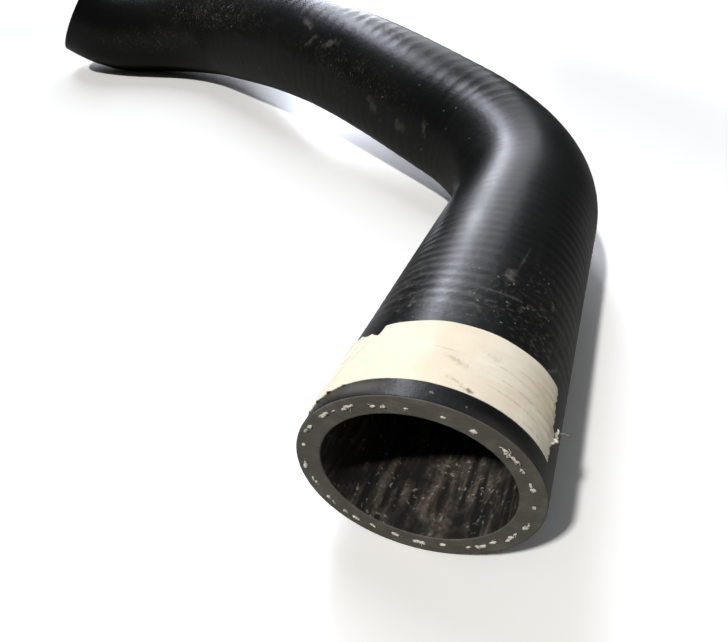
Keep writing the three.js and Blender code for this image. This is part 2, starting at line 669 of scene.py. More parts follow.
@dataclass(frozen=True)
class RubberFinish:
    """Satin black moulded rubber with wrap rings, dust and scuffs, and a painted highlight on the lip.

    Attributes:
        base: Colour of clean rubber.
        dust: Colour of dust and scuffs, and of the painted highlight on the lip.
        earth: Colour of the browner patches of dust.
        roughness: Roughness of clean rubber.
        shine: Specular level of clean rubber.
        scuffs: Scuffs and rubbed places, with broken edges.
        lip_painted_highlight: Pale smooth patches on the lip in front of the tape, a painted highlight.
        dusty: Regions where dust is strewn.
        film: Share of dust in the cloudy film over all of it.
        streaks: Share of dust in the drawn-out streaks.
        haze: Share of dust between the crumbs of a dusty region.
        crumbs: Share of dust in those crumbs.
        specks: Share of dust in the single specks.
    """

    base: tuple[float, ...] = colour(0.0042, 0.0046, 0.0044)
    dust: tuple[float, ...] = colour(0.34, 0.32, 0.29)
    earth: tuple[float, ...] = colour(0.27, 0.24, 0.20)
    roughness: float = 0.36
    shine: float = 0.50
    scuffs: tuple[Mark, ...] = (
        Mark(160, -83, 9, 3, 60, 0.13),
        Mark(172, -92, 6, 5, 0, 0.11),
        Mark(186, -90, 10, 4, 40, 0.13),
        Mark(216, -55, 9, 3.5, -30, 0.14),
        Mark(226, -60, 7, 2.5, -50, 0.11),
        Mark(232, -45, 10, 3, 20, 0.16),
        Mark(30, 8, 14, 0.9, 80, 0.13),
        Mark(36, 10, 4, 3, 0, 0.30),
        Mark(43, 14, 9, 0.7, 6, 0.10),
        Mark(22, 48, 7, 0.8, 40, 0.25),
        Mark(29, 58, 8, 0.8, 35, 0.22),
        Mark(50, 70, 50, 5.0, -3, 0.09),
        Mark(150, 12, 16, 3, 30, 0.10),
        Mark(168, 10, 16, 3, 30, 0.10),
    )
    # Painted highlight: pale smooth patches where the lip in front of the tape catches the light.
    lip_painted_highlight: tuple[Mark, ...] = (
        Mark(1.0, -36, 4.2, 17, 0, 0.30),
        Mark(1.0, 34, 4.0, 22, 0, 0.10),
    )
    dusty: tuple[Mark, ...] = (
        Mark(27, -18, 30, 46, 0, 1.0),
        Mark(30, 48, 44, 28, 0, 0.9),
        Mark(32, -44, 34, 24, 0, 1.0),
        Mark(300, -55, 110, 20, 0, 0.9),
        Mark(355, -95, 80, 18, 0, 0.6),
        Mark(205, -70, 80, 22, 0, 0.4),
    )
    film: float = 0.012
    streaks: float = 0.020
    haze: float = 0.035
    crumbs: float = 0.27
    specks: float = 0.50

    def build(self, effects: Effects) -> bpy.types.Material:
        """Builds the material.

        Args:
            effects: The shared node groups.

        Returns:
            The material.
        """
        material, tree, shader = new_material("hose_rubber", self.roughness)
        place = tree.add("ShaderNodeAttribute", attribute_name=PLACE_ATTRIBUTE).outputs["Vector"]
        unrolled = tree.group(effects.unroll, Place=place)
        cloudy = tree.noise(place, 0.05, 4.0)
        streaky = tree.noise(place, 0.35, 4.0, (0.12, 1.0, 1.0))
        fine = tree.noise(place, 2.2, 3.0)
        patchy = tree.noise(place, 0.22, 3.0)
        flecks = tree.noise(place, 1.25, 6.0, (1.0, 0.7, 0.7))
        breakup = tree.math("MULTIPLY", tree.math("SUBTRACT", tree.noise(place, 0.6, 6.0), 0.5), 1.5)

        film = tree.math("MULTIPLY", tree.ramp(cloudy, 0.42, 0.75), self.film)
        streaks = tree.math("MULTIPLY", tree.ramp(streaky, 0.60, 0.80), self.streaks)
        total = tree.math("ADD", film, streaks)
        for scuff in self.scuffs:
            total = tree.math("ADD", total, effects.spot(tree, unrolled, scuff, breakup))
        # The lip patches add painted highlight, not dust.
        for lip in self.lip_painted_highlight:
            total = tree.math("ADD", total, effects.spot(tree, unrolled, lip))

        region = effects.spot(tree, unrolled, self.dusty[0])
        for area in self.dusty[1:]:
            region = tree.math("MAXIMUM", region, effects.spot(tree, unrolled, area))
        gathered = tree.ramp(patchy, 0.36, 0.62, 0.25, 1.0)
        crumbs = tree.math("MULTIPLY", tree.ramp(flecks, 0.53, 0.67), gathered)
        haze = tree.math("MULTIPLY", tree.ramp(patchy, 0.45, 0.72), self.haze)
        lying = tree.math("ADD", haze, tree.math("MULTIPLY", crumbs, self.crumbs))
        total = tree.math("ADD", total, tree.math("MULTIPLY", region, lying))

        specks = tree.group(effects.specks, Place=place, Pitch=0.42, Share=0.13, Size=0.15)
        near_specks = tree.group(effects.specks, Place=place, Pitch=1.0, Share=0.36, Size=0.22)
        dotted = tree.math("MULTIPLY", near_specks.outputs["Mask"], tree.ramp(region, 0.05, 0.5))
        speck = tree.math("MULTIPLY", tree.math("MAXIMUM", specks.outputs["Mask"], dotted), self.specks)
        total = tree.math("MINIMUM", tree.math("ADD", total, speck), 1.0)
        # These dust colours also tint the lip's painted highlight.
        soil = tree.mix(tree.ramp(patchy, 0.42, 0.62), self.dust, self.earth)

        shader.inputs["Specular IOR Level"].default_value = self.shine
        tree.feed(shader.inputs["Base Color"], tree.mix(total, self.base, soil))
        dull = tree.math("MULTIPLY", total, 0.8)
        grained = tree.math("MULTIPLY", tree.math("SUBTRACT", fine, 0.5), 0.10)
        worn = tree.math("MULTIPLY", tree.math("SUBTRACT", cloudy, 0.5), 0.22)
        varied = tree.math("ADD", tree.math("ADD", dull, grained), worn)
        tree.feed(shader.inputs["Roughness"], tree.math("ADD", varied, self.roughness))
        bump = tree.add("ShaderNodeBump", Strength=0.5, Distance=0.12 * MM)
        waves = tree.math("MULTIPLY", tree.noise(place, 0.7, 2.0), 0.9)
        tree.feed(bump.inputs["Height"], tree.math("ADD", tree.math("MULTIPLY", fine, 0.25), waves))
        tree.feed(shader.inputs["Normal"], bump.outputs[0])
        return material


@dataclass(frozen=True)
class CutWallFinish:
    """Knife-cut rubber of the end faces: matt grey-brown with fine cutting lines.

    Attributes:
        base: Colour of the cut rubber.
        pale: Colour of its paler blotches and lines.
        roughness: Its roughness.
    """

    base: tuple[float, ...] = colour(0.125, 0.113, 0.094)
    pale: tuple[float, ...] = colour(0.22, 0.205, 0.185)
    roughness: float = 0.72

    def build(self) -> bpy.types.Material:
        """Builds the material.

        Returns:
            The material.
        """
        material, tree, shader = new_material("cut_rubber", self.roughness)
        place = tree.add("ShaderNodeAttribute", attribute_name=PLACE_ATTRIBUTE).outputs["Vector"]
        lines = tree.noise(place, 1.2, 4.0, (1.0, 0.18, 2.6))
        blotches = tree.noise(place, 0.28, 3.0)
        grain = tree.noise(place, 5.0, 3.0)
        blotched, lined = tree.ramp(blotches, 0.40, 0.75, 0.0, 0.5), tree.ramp(lines, 0.55, 0.8, 0.0, 0.45)
        paler = tree.math("ADD", blotched, lined)
        tree.feed(shader.inputs["Base Color"], tree.mix(paler, self.base, self.pale))
        bump = tree.add("ShaderNodeBump", Strength=0.6, Distance=0.15 * MM)
        tree.feed(bump.inputs["Height"], tree.math("ADD", tree.math("MULTIPLY", grain, 0.4), lines))
        tree.feed(shader.inputs["Normal"], bump.outputs[0])
        return material


@dataclass(frozen=True)
class BoreFinish:
    """Inside of the bore: dark rubber with a brownish film drawn out lengthwise, and pale specks.

    Attributes:
        base: Colour of clean rubber.
        film: Colour of the dried film.
        speck: Colour of specks and fluff.
        roughness: Its roughness.
    """

    base: tuple[float, ...] = colour(0.022, 0.021, 0.019)
    film: tuple[float, ...] = colour(0.19, 0.155, 0.13)
    speck: tuple[float, ...] = colour(0.62, 0.56, 0.50)
    roughness: float = 0.55

    def build(self, effects: Effects) -> bpy.types.Material:
        """Builds the material.

        Args:
            effects: The shared node groups.

        Returns:
            The material.
        """
        material, tree, shader = new_material("bore_rubber", self.roughness)
        place = tree.add("ShaderNodeAttribute", attribute_name=PLACE_ATTRIBUTE).outputs["Vector"]
        drawn = tree.noise(place, 0.55, 5.0, (0.16, 1.0, 1.0))
        patches = tree.noise(place, 0.16, 3.0)
        crumbs = tree.noise(place, 1.3, 4.0)
        film = tree.math("MULTIPLY", tree.ramp(drawn, 0.40, 0.72), tree.ramp(patches, 0.30, 0.62))
        film = tree.math("MULTIPLY", film, tree.ramp(crumbs, 0.25, 0.65, 0.35, 1.0))
        specks = tree.group(effects.specks, Place=place, Pitch=0.7, Share=0.13, Size=0.26)
        fluff = tree.ramp(tree.noise(place, 0.9, 6.0), 0.58, 0.72, 0.0, 0.8)
        scattered = tree.math("MAXIMUM", specks.outputs["Mask"], fluff)
        bright = tree.math("MULTIPLY", scattered, tree.ramp(patches, 0.38, 0.60))
        skin = tree.mix(film, self.base, self.film)
        specked = tree.mix(tree.math("MULTIPLY", bright, 0.55), skin, self.speck)
        tree.feed(shader.inputs["Base Color"], specked)
        bump = tree.add("ShaderNodeBump", Strength=0.7, Distance=0.3 * MM)
        tree.feed(bump.inputs["Height"], tree.math("ADD", tree.math("MULTIPLY", crumbs, 0.4), drawn))
        tree.feed(shader.inputs["Normal"], bump.outputs[0])
        return material


@dataclass(frozen=True)
class YarnFinish:
    """Off-white reinforcing yarn, a little soiled.

    Attributes:
        base: Colour of clean yarn.
        soiled: Colour of its soiled parts.
        roughness: Its roughness.
    """

    base: tuple[float, ...] = colour(0.80, 0.76, 0.68)
    soiled: tuple[float, ...] = colour(0.30, 0.26, 0.21)
    roughness: float = 0.9

    def build(self) -> bpy.types.Material:
        """Builds the material.

        Returns:
            The material.
        """
        material, tree, shader = new_material("white_yarn", self.roughness)
        place = tree.add("ShaderNodeTexCoord").outputs["Object"]
        soil = tree.noise(place, 900.0, 2.0)
        tree.feed(shader.inputs["Base Color"], tree.mix(tree.ramp(soil, 0.45, 0.72), self.base, self.soiled))
        return material


@dataclass(frozen=True)
class TapeFinish:
    """Cream crepe paper tape, creased and stained, with painted shade along its creases.

    Attributes:
        base: Colour of clean paper.
        warm: Colour of its warmer clouds.
        dirt_and_crease_shade: Colour of stain marks, and of the painted shade along its creases.
        roughness: Its roughness.
        stains_and_crease_shade: Its stain marks, and dark lines painted along its creases as shade.
    """

    base: tuple[float, ...] = colour(0.95, 0.88, 0.71)
    warm: tuple[float, ...] = colour(0.84, 0.69, 0.50)
    dirt_and_crease_shade: tuple[float, ...] = colour(0.22, 0.15, 0.10)
    roughness: float = 0.85
    stains_and_crease_shade: tuple[Mark, ...] = (
        Mark(4.8, 10, 0.9, 2.4, 0, 0.85),
        Mark(5.6, 4, 0.8, 2.8, 10, 0.40),
        Mark(9.5, 2, 1.4, 4.2, 20, 0.30),
        Mark(11.5, -4, 0.6, 5.0, 0, 0.22),
        Mark(13.5, 16, 1.6, 3.4, 0, 0.18),
        # Painted shade: dark lines along the creases near the torn end.
        Mark(8.0, 31, 11.0, 0.60, 86, 0.26),
        Mark(10.4, 33, 12.0, 0.60, 87, 0.30),
        Mark(12.6, 30, 12.0, 0.55, 88, 0.24),
        Mark(14.6, 36, 9.0, 0.50, 88, 0.20),
        Mark(6.2, 42, 6.0, 0.50, 85, 0.22),
        # Painted shade: dark lines along the slanting creases of the crumpled part.
        Mark(10.2, -51, 7.6, 0.34, 37, 0.42),
        Mark(9.4, -57, 6.6, 0.30, 40, 0.34),
        Mark(13.0, -55, 5.6, 0.30, 48, 0.30),
        Mark(12.0, -47, 4.0, 0.26, 30, 0.28),
        Mark(17.6, -40, 1.2, 2.0, 0, 0.40),
    )

    def build(self, effects: Effects) -> bpy.types.Material:
        """Builds the material.

        Args:
            effects: The shared node groups.

        Returns:
            The material.
        """
        material, tree, shader = new_material("paper_tape", self.roughness)
        place = tree.add("ShaderNodeAttribute", attribute_name=PLACE_ATTRIBUTE).outputs["Vector"]
        unrolled = tree.group(effects.unroll, Place=place)
        crepe = tree.noise(place, 1.4, 4.0, (0.25, 1.0, 1.0))
        fibres = tree.noise(place, 6.0, 3.0)
        clouds = tree.noise(place, 0.12, 4.0)
        breakup = tree.math("MULTIPLY", tree.math("SUBTRACT", tree.noise(place, 1.4, 4.0), 0.5), 1.3)
        shade = tree.mix(tree.ramp(clouds, 0.40, 0.72, 0.0, 0.55), self.base, self.warm)
        soiled = tree.ramp(fibres, 0.66, 0.82, 0.0, 0.18)
        # The crease lines darken the paper as painted shade; the other marks are stain marks.
        for stain in self.stains_and_crease_shade:
            soiled = tree.math("ADD", soiled, effects.spot(tree, unrolled, stain, breakup))
        tree.feed(shader.inputs["Base Color"], tree.mix(tree.math("MINIMUM", soiled, 1.0), shade, self.dirt_and_crease_shade))
        bump = tree.add("ShaderNodeBump", Strength=0.5, Distance=0.12 * MM)
        tree.feed(bump.inputs["Height"], tree.math("ADD", crepe, tree.math("MULTIPLY", fibres, 0.5)))
        tree.feed(shader.inputs["Normal"], bump.outputs[0])
        return material


@dataclass(frozen=True)
class BenchFinish:
    """Glossy white bench top, dim to everything but the camera.

    Attributes:
        base: Colour that the camera sees.
        dim: Colour that all other rays see, so that the rubber's flanks stay black.
        roughness: Its roughness.
        shine: Its specular level.
        plain_from: Distance from the hose's middle at which it starts to turn plain white.
        plain_beyond: Distance beyond which it is plain white.
    """

    base: tuple[float, ...] = colour(1.15, 1.15, 1.13)
    dim: tuple[float, ...] = colour(0.22, 0.22, 0.21)
    roughness: float = 0.25
    shine: float = 0.6
    plain_from: float = 0.24
    plain_beyond: float = 0.62

    def build(self) -> bpy.types.Material:
        """Builds the material.

        Returns:
            The material.
        """
        material, tree, shader = new_material("white_bench", self.roughness)
        seen = tree.add("ShaderNodeLightPath").outputs["Is Camera Ray"]
        tree.feed(shader.inputs["Base Color"], tree.mix(seen, self.dim, self.base))
        shader.inputs["Specular IOR Level"].default_value = self.shine
        reach = tree.add("ShaderNodeVectorMath", operation="LENGTH")
        tree.feed(reach.inputs[0], tree.add("ShaderNodeTexCoord").outputs["Object"])
        far = tree.ramp(reach.outputs["Value"], self.plain_from, self.plain_beyond)
        shader.inputs["Emission Color"].default_value = colour(1.0, 1.0, 1.0)
        tree.feed(shader.inputs["Emission Strength"], tree.math("MULTIPLY", seen, far))
        return material


# Pieces


@dataclass(frozen=True)
class Wave:
    """A ripple over the tube.

    Attributes:
        height: Its height, in the unit of what it ripples.
        turns: Waves round the tube.
        reach: Length along the tube, in millimetres, over which it turns by one radian.
        shift: Where it starts, in radians.
    """

    height: float
    turns: float
    reach: float
    shift: float = 0.0

    def at(self, angle: Points, along_mm: Points) -> Points:
        """Returns the ripple at angles round the tube, in radians, and distances along it."""
        return self.height * np.sin(self.turns * angle + along_mm / self.reach + self.shift)


@dataclass
class HoseBody:
    """The moulded hose: a wall with wrap rings outside, a bore, and two cut ends.

    Attributes:
        section: The tube's section.
        route: The centre line.
        ring_height: Height of the wrap rings above their grooves.
        rim_round: Rounding of the four rims.
        outer_cuts: Cuts along the outside, where the second number divides each part of the first.
        bore_cuts: The same along the bore.
        end_cuts: Cuts across the wall at each end.
        trim_reach: Length over which the near end's slant fades out.
        ring_stations: Distances from the near end, in millimetres, that have their own ring pitch.
        ring_pitches: Pitch of the rings at those distances, in millimetres.
        ring_fade_stations: Distances that have their own ring strength.
        ring_fades: How strongly the rings show at those distances.
        wander: Ripples that the rings follow.
        even: Mean strength of the rings.
        patches: Pairs of ripples whose product makes the rings uneven.
        swell: Slow swells of the whole outside, in millimetres.
    """

    section: TubeSection
    route: HoseRoute
    ring_height: float = 0.155 * MM
    rim_round: float = 0.28 * MM
    outer_cuts: tuple[int, int] = (95, 6)
    bore_cuts: tuple[int, int] = (55, 3)
    end_cuts: int = 11
    trim_reach: float = 30 * MM
    ring_stations: tuple[float, ...] = (0, 50, 80, 150, 420)
    ring_pitches: tuple[float, ...] = (3.25, 3.25, 3.75, 5.0, 5.0)
    ring_fade_stations: tuple[float, ...] = (0, 20, 26, 60, 80, 100, 132, 148, 215, 260, 330, 420)
    ring_fades: tuple[float, ...] = (0.0, 0.0, 1.0, 1.0, 0.45, 0.15, 0.15, 0.65, 0.7, 0.45, 0.2, 0.2)
    wander: tuple[Wave, ...] = (
        Wave(0.5, 2, 23),
        Wave(0.35, 3, -9, 1.3),
        Wave(0.5, 5, 4.3),
        Wave(0.3, 8, -2.9, 2.1),
    )
    even: float = 0.70
    patches: tuple[tuple[Wave, Wave], ...] = (
        (Wave(0.22, 2, 31), Wave(1.0, 0, 13, 0.7)),
        (Wave(0.26, 5, -3.7), Wave(1.0, 4, 2.3, 0.9)),
    )
    swell: tuple[Wave, ...] = (Wave(0.05, 1, 17), Wave(0.04, -2, 29, 2.0))

    def wall_outline(self) -> bpy.types.Object:
        """Draws the wall's cut shape from the side, as a long thin loop of edges above the tube's axis.

        Returns:
            The outline, with its long sides divided into stations.
        """
        section, length = self.section, self.route.walk
        middle = (section.outer_radius + section.bore_radius) / 2
        deselect_all()
        upright = (math.pi / 2, 0, 0)
        bpy.ops.mesh.primitive_plane_add(size=1, location=(length / 2, 0, middle), rotation=upright)
        piece = bpy.context.active_object
        piece.name = "hose_body_rubber"
        piece.scale = (length, section.wall, 1)
        bpy.ops.object.transform_apply(location=True, rotation=True, scale=True)
        with editing(piece, "FACE"):
            bpy.ops.mesh.select_all(action="SELECT")
            bpy.ops.mesh.delete(type="ONLY_FACE")
        with editing(piece):
            for above, cuts in ((True, self.outer_cuts), (False, self.bore_cuts)):
                select_edges(piece, lambda a, b: (a.z > middle) == above and (b.z > middle) == above)
                for count in cuts:
                    bpy.ops.mesh.subdivide(number_cuts=count)
            select_edges(piece, lambda a, b: (a.z > middle) != (b.z > middle))
            bpy.ops.mesh.subdivide(number_cuts=self.end_cuts)
        return piece

    def spin_wall(self, piece: bpy.types.Object) -> None:
        """Spins the outline round the tube's axis into a closed wall, and rounds its four rims.

        Args:
            piece: The outline.
        """
        with editing(piece, "VERT"):
            bpy.ops.mesh.select_all(action="SELECT")
            bpy.ops.mesh.spin(
                steps=self.section.sides, angle=2 * math.pi, center=(0, 0, 0), axis=(1, 0, 0),
                use_auto_merge=True,
            )
            bpy.ops.mesh.select_all(action="SELECT")
            bpy.ops.mesh.remove_doubles(threshold=0.01 * MM)
            bpy.ops.mesh.normals_make_consistent(inside=False)
        rims = piece.modifiers.new("rims", "BEVEL")
        rims.limit_method = "ANGLE"
        rims.angle_limit = math.radians(60)
        rims.width = self.rim_round
        rims.segments = 3
        apply_modifiers(piece)

    def dress(self, piece: bpy.types.Object, materials: Sequence[bpy.types.Material]) -> None:
        """Gives the outside, the cut ends and the bore their own materials.

        Args:
            piece: The straight tube.
            materials: The outside's, the cut ends' and the bore's material.
        """
        for material in materials:
            piece.data.materials.append(material)
        middle = (self.section.outer_radius + self.section.bore_radius) / 2
        for face in piece.data.polygons:
            if abs(face.normal.x) > 0.6:
                face.material_index = 1
            elif math.hypot(face.center.y, face.center.z) < middle:
                face.material_index = 2

    def ring_profile(self, along_mm: Points) -> tuple[Points, Points]:
        """Finds where a distance lies in the wrap rings.

        Args:
            along_mm: Distances from the near end, in millimetres.

        Returns:
            The phase of the rings and how strongly they show.
        """
        step = 0.1
        grid = np.linspace(0, self.ring_stations[-1], round(self.ring_stations[-1] / step) + 1)
        pitch = np.interp(grid, self.ring_stations, self.ring_pitches)
        phase = np.concatenate([[0], np.cumsum(step / pitch[:-1])]) * 2 * np.pi
        return np.interp(along_mm, grid, phase), np.interp(along_mm, self.ring_fade_stations, self.ring_fades)

    def press_wrap_rings(self, places: Points) -> Points:
        """Presses the rings left by the curing wrap into the outside, with slow uneven swells.

        Args:
            places: The straight tube's vertices.

        Returns:
            The new places.
        """
        radius = np.hypot(places[:, 1], places[:, 2])
        angle = np.arctan2(-places[:, 1], places[:, 2])
        distance = places[:, 0] / MM
        phase, strength = self.ring_profile(distance)
        wander = sum(wave.at(angle, distance) for wave in self.wander)
        rings = (0.5 + 0.5 * np.cos(phase + angle + wander)) ** 1.5
        patches = sum(one.at(angle, distance) * two.at(angle, distance) for one, two in self.patches)
        uneven = self.even + patches
        swell = sum(wave.at(angle, distance) for wave in self.swell)
        fade = smooth_between(distance, 20, 32) * smooth_between(self.route.walk / MM - distance, 2, 8)
        height = self.ring_height * strength * uneven * (rings - 1) + swell * MM * fade
        hair = 0.05 * MM
        outside = radius > self.section.outer_radius - hair
        scale = 1 + np.where(outside, height, 0) / radius
        return np.column_stack([places[:, 0], places[:, 1] * scale, places[:, 2] * scale])

    def shape(self, piece: bpy.types.Object) -> None:
        """Lifts the bore, trims the near end out of square and presses the rings.

        Args:
            piece: The straight tube.
        """
        section = self.section
        places = vertex_places(piece)
        radius = np.hypot(places[:, 1], places[:, 2])
        inward = np.clip((section.outer_radius - radius) / section.wall, 0, 1)
        trimmed = np.clip(1 - places[:, 0] / self.trim_reach, 0, 1)
        places = self.press_wrap_rings(places)
        places[:, 0] -= places[:, 1] * math.tan(self.route.trim_skew) * trimmed
        places[:, 2] += section.bore_lift * inward
        move_vertices(piece, places)
        note_straight_places(piece)

    def build(
        self, bender: RouteCurve, curve: bpy.types.Object, materials: Sequence[bpy.types.Material]
    ) -> bpy.types.Object:
        """Makes the hose.

        Args:
            bender: What bends a straight piece along the route.
            curve: The route's curve object.
            materials: The outside's, the cut ends' and the bore's material.

        Returns:
            The finished piece.
        """
        piece = self.wall_outline()
        self.spin_wall(piece)
        self.dress(piece, materials)
        self.shape(piece)
        bender.bend(piece, curve)
        smooth_faces(piece)
        ride_and_slot(piece)
        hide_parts("hose_body")
        return piece


@dataclass(frozen=True)
class YarnEnd:
    """Where the knife cut through the reinforcing yarn.

    Attributes:
        angle: Angle from the top towards the right, in degrees.
        radius: Distance from the hose's axis, in millimetres.
        spread: How far the tuft reaches round the wall, in millimetres.
        lumps: Number of lumps of matted fibre in the tuft.
        strands: Number of loose strands.
    """

    angle: float
    radius: float
    spread: float
    lumps: int
    strands: int


@dataclass(frozen=True)
class LooseThread:
    """A pulled thread that lies on the cut wall or on the rubber.

    Attributes:
        places: Places along the thread, each a setback, an angle and a radius in millimetres and degrees.
        thickness: Radius of the thread in millimetres.
    """

    places: tuple[tuple[float, float, float], ...]
    thickness: float


@dataclass
class YarnEnds:
    """Frayed ends of the reinforcing yarn on the near end's cut wall, and a few pulled threads.

    Attributes:
        section: The tube's section.
        route: The centre line.
        seed: Seed of the chance in the tufts.
        strand_radius: Thickness of a loose strand at its root.
        strand_sides: Its sides.
        thread_sides: Sides of a pulled thread.
        ends: The yarn ends round the cut wall.
        threads: The pulled threads, two on the cut wall and two at the tape's torn end.
    """

    section: TubeSection
    route: HoseRoute
    seed: int = 7
    strand_radius: float = 0.07 * MM
    strand_sides: int = 6
    thread_sides: int = 8
    ends: tuple[YarnEnd, ...] = (
        YarnEnd(-11, 18.6, 0.5, 1, 2),
        YarnEnd(5, 18.7, 1.3, 2, 3),
        YarnEnd(20, 18.7, 0.9, 2, 3),
        YarnEnd(38, 19.2, 1.2, 3, 6),
        YarnEnd(51, 19.0, 0.7, 2, 3),
        YarnEnd(63, 19.0, 1.8, 4, 5),
        YarnEnd(78, 19.2, 0.3, 1, 1),
        YarnEnd(96, 19.1, 2.0, 6, 8),
        YarnEnd(107, 18.9, 0.5, 1, 2),
        YarnEnd(112, 18.9, 1.7, 5, 6),
        YarnEnd(123, 18.2, 1.3, 3, 4),
        YarnEnd(133, 18.6, 2.2, 6, 8),
        YarnEnd(140, 18.3, 0.6, 1, 2),
        YarnEnd(153, 17.7, 1.0, 1, 3),
        YarnEnd(167, 18.2, 1.0, 3, 5),
        YarnEnd(171, 18.2, 1.0, 4, 5),
        YarnEnd(-177, 18.0, 1.5, 3, 4),
        YarnEnd(-162, 18.3, 1.4, 3, 5),
        YarnEnd(-151, 18.9, 1.2, 4, 5),
        YarnEnd(-145, 18.9, 1.2, 4, 5),
        YarnEnd(-135, 18.8, 0.9, 2, 3),
        YarnEnd(-130, 18.9, 0.5, 1, 2),
        YarnEnd(-118, 19.1, 1.2, 2, 3),
        YarnEnd(-114, 19.2, 0.8, 2, 2),
        YarnEnd(-101, 19.5, 2.4, 6, 9),
        YarnEnd(-84, 19.5, 0.4, 1, 1),
        YarnEnd(-70, 19.8, 1.8, 5, 6),
        YarnEnd(-54, 19.7, 2.2, 7, 9),
        YarnEnd(-48, 19.7, 0.4, 1, 2),
        YarnEnd(-40, 19.4, 2.5, 6, 9),
        YarnEnd(-27, 18.9, 0.5, 1, 2),
        YarnEnd(-22, 18.7, 0.5, 1, 2),
    )
    threads: tuple[LooseThread, ...] = (
        LooseThread(
            ((-0.2, 33, 19.0), (-0.35, 36, 19.5), (-0.3, 39, 18.9), (-0.4, 43, 19.5), (-0.2, 47, 19.3)), 0.20
        ),
        LooseThread(((-0.2, 34, 19.3), (-0.3, 37, 18.9), (-0.4, 41, 19.4), (-0.2, 46, 18.8)), 0.13),
        LooseThread(
            ((9.0, 58, 21.3), (10.5, 62, 21.6), (12.0, 67, 21.8), (13.4, 72, 22.3), (14.6, 77, 22.6)), 0.10
        ),
        LooseThread(((6.5, 57, 21.3), (8.0, 60, 21.6), (9.2, 61, 21.4), (10.8, 60, 21.6)), 0.26),
    )

    def place(self, setback: float, angle: float, radius: float) -> Vector:
        """Finds a place near the near end.

        Args:
            setback: Distance behind the cut face, in millimetres.
            angle: Angle from the top towards the right, in degrees.
            radius: Distance from the axis, in millimetres.

        Returns:
            The place, in the part's frame.
        """
        turn, skew = math.radians(angle), self.route.trim_skew
        right = radius * MM * math.sin(turn)
        reach = setback * MM + right * math.tan(skew)
        across, forward = Vector((math.cos(skew), -math.sin(skew), 0)), along(-skew).to_3d()
        above = Vector((0, 0, radius * MM * math.cos(turn)))
        return self.route.point(0.0) + across * right + forward * reach + above

    def strand(self, length: float, draw: random.Random) -> bpy.types.Object:
        """Makes one short tapered strand with a slight curl, standing at the origin along +Z.

        Args:
            length: Its length.
            draw: Source of chance.

        Returns:
            The strand.
        """
        deselect_all()
        taper = 0.35
        bpy.ops.mesh.primitive_cone_add(
            vertices=self.strand_sides, radius1=self.strand_radius, radius2=self.strand_radius * taper,
            depth=length, location=(0, 0, length / 2), end_fill_type="NGON",
        )
        piece = bpy.context.active_object
        bpy.ops.object.transform_apply(location=True, rotation=True, scale=True)
        with editing(piece):
            select_edges(piece, lambda a, b: abs(a.z - b.z) > length / 2)
            bpy.ops.mesh.subdivide(number_cuts=4)
        places = vertex_places(piece)
        share = places[:, 2] / length
        curl, turn = draw.uniform(0.2, 0.7) * length, draw.uniform(0, 2 * math.pi)
        places[:, 0] += curl * math.cos(turn) * share ** 2
        places[:, 1] += curl * math.sin(turn) * share ** 2 + 0.08 * length * np.sin(share * 7)
        move_vertices(piece, places)
        return piece

    def lump(self, size: float, draw: random.Random) -> bpy.types.Object:
        """Makes one flattened lump of matted fibre at the origin, facing -Y.

        Args:
            size: Its width.
            draw: Source of chance.

        Returns:
            The lump.
        """
        deselect_all()
        bpy.ops.mesh.primitive_ico_sphere_add(subdivisions=3, radius=size / 2)
        piece = bpy.context.active_object
        places = vertex_places(piece)
        shift = [draw.uniform(0, 6) for _ in range(3)]
        wave = sum(np.sin(places[:, axis] / size * 11 + shift[axis]) for axis in range(3))
        fine = sum(np.sin(places[:, axis] / size * 29 + 2 * shift[axis]) for axis in range(3))
        places *= (1 + 0.10 * wave + 0.06 * fine)[:, None]
        places[:, 1] *= 0.5
        move_vertices(piece, places)
        return piece

    def tuft(self, end: YarnEnd, draw: random.Random) -> list[bpy.types.Object]:
        """Makes the lumps and loose strands of one yarn end.

        Args:
            end: The yarn end.
            draw: Source of chance.

        Returns:
            The pieces, in place.
        """
        pieces = []
        for _ in range(end.lumps):
            angle = end.angle + math.degrees(draw.uniform(-0.5, 0.5) * end.spread / end.radius)
            place = self.place(-draw.uniform(0.0, 0.12), angle, end.radius + draw.uniform(-0.22, 0.22))
            piece = self.lump(draw.uniform(0.46, 0.84) * MM, draw)
            stretch = Matrix.Diagonal((draw.uniform(1.0, 1.7), 1.0, draw.uniform(0.6, 1.0), 1.0))
            turn = Matrix.Rotation(math.radians(angle), 4, "Y")
            piece.data.transform(Matrix.Translation(place) @ turn @ stretch)
            pieces.append(piece)
        for _ in range(end.strands // 2):
            angle = end.angle + math.degrees(draw.uniform(-0.6, 0.6) * end.spread / end.radius)
            place = self.place(0.1, angle, end.radius + draw.uniform(-0.35, 0.35))
            piece = self.strand(draw.uniform(0.35, 0.75) * MM, draw)
            towards = draw.choice((-1, 1)) * (math.pi / 2 + draw.uniform(-0.7, 0.7)) - math.radians(angle)
            lean = draw.uniform(0.9, 1.4)
            turn = Matrix.Rotation(towards, 4, "Y") @ Matrix.Rotation(math.pi / 2 - lean, 4, "X")
            piece.data.transform(Matrix.Translation(place) @ turn)
            pieces.append(piece)
        return pieces

